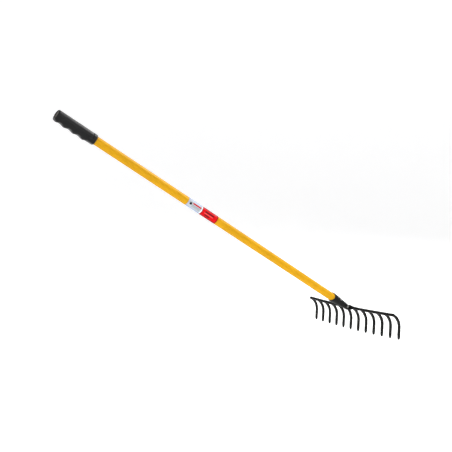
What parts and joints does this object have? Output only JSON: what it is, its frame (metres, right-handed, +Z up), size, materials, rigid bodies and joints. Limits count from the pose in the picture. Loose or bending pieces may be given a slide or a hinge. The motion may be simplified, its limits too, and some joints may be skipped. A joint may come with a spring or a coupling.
{
  "type": "garden rake",
  "caption": "Level-head garden rake: curved steel tines on a bar, a tapered riveted socket and a coated tube handle with a finger-grooved grip.",
  "frame": {"origin": "on the ground under the middle of the whole rake's box, with the tines upright", "axes": "+X forward from the grip to the head, +Y to the left when looking along +X, +Z up; the handle rises 31 degrees towards -X"},
  "size_m": [1.0176, 0.4154, 0.6747],
  "materials": {
    "yellow_coat": "satin powder coat",
    "grip_rubber": "fine matt grain",
    "plug_plastic": "matt",
    "white_print": "printed film",
    "red_print": "printed film",
    "black_socket": "satin black paint",
    "black_head": "satin black paint over forged steel",
    "rivet_steel": "bare, dulled"
  },
  "bodies": {
    "root": {"handle_tube": "yellow_coat", "hand_grip": "grip_rubber", "tube_plug": "plug_plastic", "white_label": "white_print", "red_label": "red_print", "socket": "black_socket", "tube_rivet": "rivet_steel", "head_tang": "black_head", "tang_rivet": "rivet_steel", "head_bar": "black_head", "tine_01": "black_head", "tine_02": "black_head", "tine_03": "black_head", "tine_04": "black_head", "tine_05": "black_head", "tine_06": "black_head", "tine_07": "black_head", "tine_08": "black_head", "tine_09": "black_head", "tine_10": "black_head", "tine_11": "black_head", "tine_12": "black_head"}
  },
  "joints": []
}
